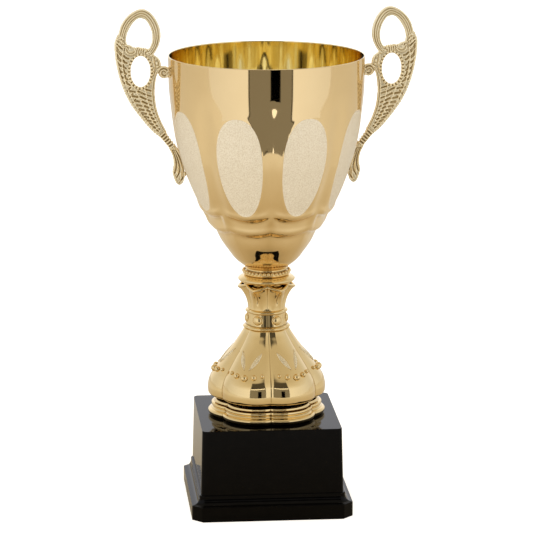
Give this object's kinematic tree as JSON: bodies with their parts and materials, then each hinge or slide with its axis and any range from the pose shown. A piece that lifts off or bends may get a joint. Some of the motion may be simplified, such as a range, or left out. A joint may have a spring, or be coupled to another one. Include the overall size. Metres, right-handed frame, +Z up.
{
  "type": "cup trophy",
  "caption": "Two-handled gold cup with frosted oval panels on a lobed riser and a black square plinth, clamped on one threaded rod.",
  "frame": {"origin": "centre of the plinth's underside", "axes": "+Z up through the rod; -Y is the front; the handles lie along +X and -X"},
  "size_m": [0.2474, 0.16, 0.413],
  "materials": {
    "gold_sheet": "mirror polished, with frosted oval panels",
    "gold_casting": "plated casting, satin with polished high spots",
    "gold_plated": "vacuum plated, polished",
    "black_gloss": "high gloss",
    "zinc_steel": "zinc plated",
    "raw_steel": "as rolled",
    "nickel": "nickel plated",
    "black_rubber": "matte",
    "red_fibre": "vulcanised fibre",
    "black_board": "hard board, matte"
  },
  "bodies": {
    "root": {"bowl": "gold_sheet", "handle_left": "gold_casting", "handle_right": "gold_casting", "handle_screws": "zinc_steel", "handle_washers": "red_fibre", "acorn_nut": "nickel", "cup_washer": "zinc_steel", "cushion_washer": "black_rubber", "collar": "gold_plated", "crown": "gold_plated", "waist_band": "gold_plated", "bell": "gold_plated", "foot": "gold_plated", "tie_rod": "zinc_steel", "base_shell": "black_gloss", "spacer_tube": "zinc_steel", "base_weight": "raw_steel", "plain_washer": "zinc_steel", "spring_washer": "zinc_steel", "hex_nut": "zinc_steel", "base_cover": "black_board"}
  },
  "joints": []
}
